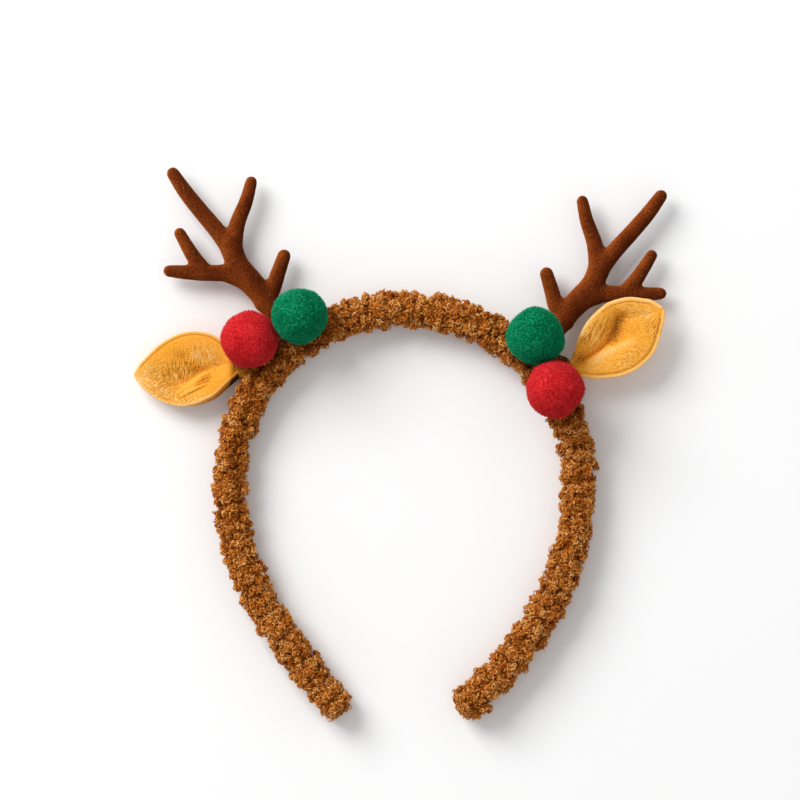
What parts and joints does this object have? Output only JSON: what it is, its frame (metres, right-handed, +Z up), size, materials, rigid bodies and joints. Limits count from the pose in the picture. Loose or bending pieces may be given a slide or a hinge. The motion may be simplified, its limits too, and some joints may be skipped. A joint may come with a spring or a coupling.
{
  "type": "reindeer antler headband",
  "caption": "Arched padded headband in curly brown pile with flocked antlers, velvet ears and red and green yarn pompoms, worn over the head at Christmas.",
  "frame": {"origin": "middle of the part's box on the surface that it lies on", "axes": "+Y toward the top of the arch and the antlers, +X to the right seen from the front, +Z up out of the front where the pompoms are"},
  "size_m": [0.2128, 0.2226, 0.0383],
  "materials": {
    "curly_pile": "curly looped pile, matt",
    "flocked_plastic": "fine flocking on a moulding",
    "tan_velvet": "crushed velvet with a soft sheen",
    "red_yarn": "dense sheared yarn ends",
    "green_yarn": "dense sheared yarn ends"
  },
  "bodies": {
    "root": {"band": "curly_pile", "antler_left": "flocked_plastic", "antler_right": "flocked_plastic", "ear_left": "tan_velvet", "ear_right": "tan_velvet", "pompom_left_red": "red_yarn", "pompom_left_green": "green_yarn", "pompom_right_green": "green_yarn", "pompom_right_red": "red_yarn"}
  },
  "joints": []
}
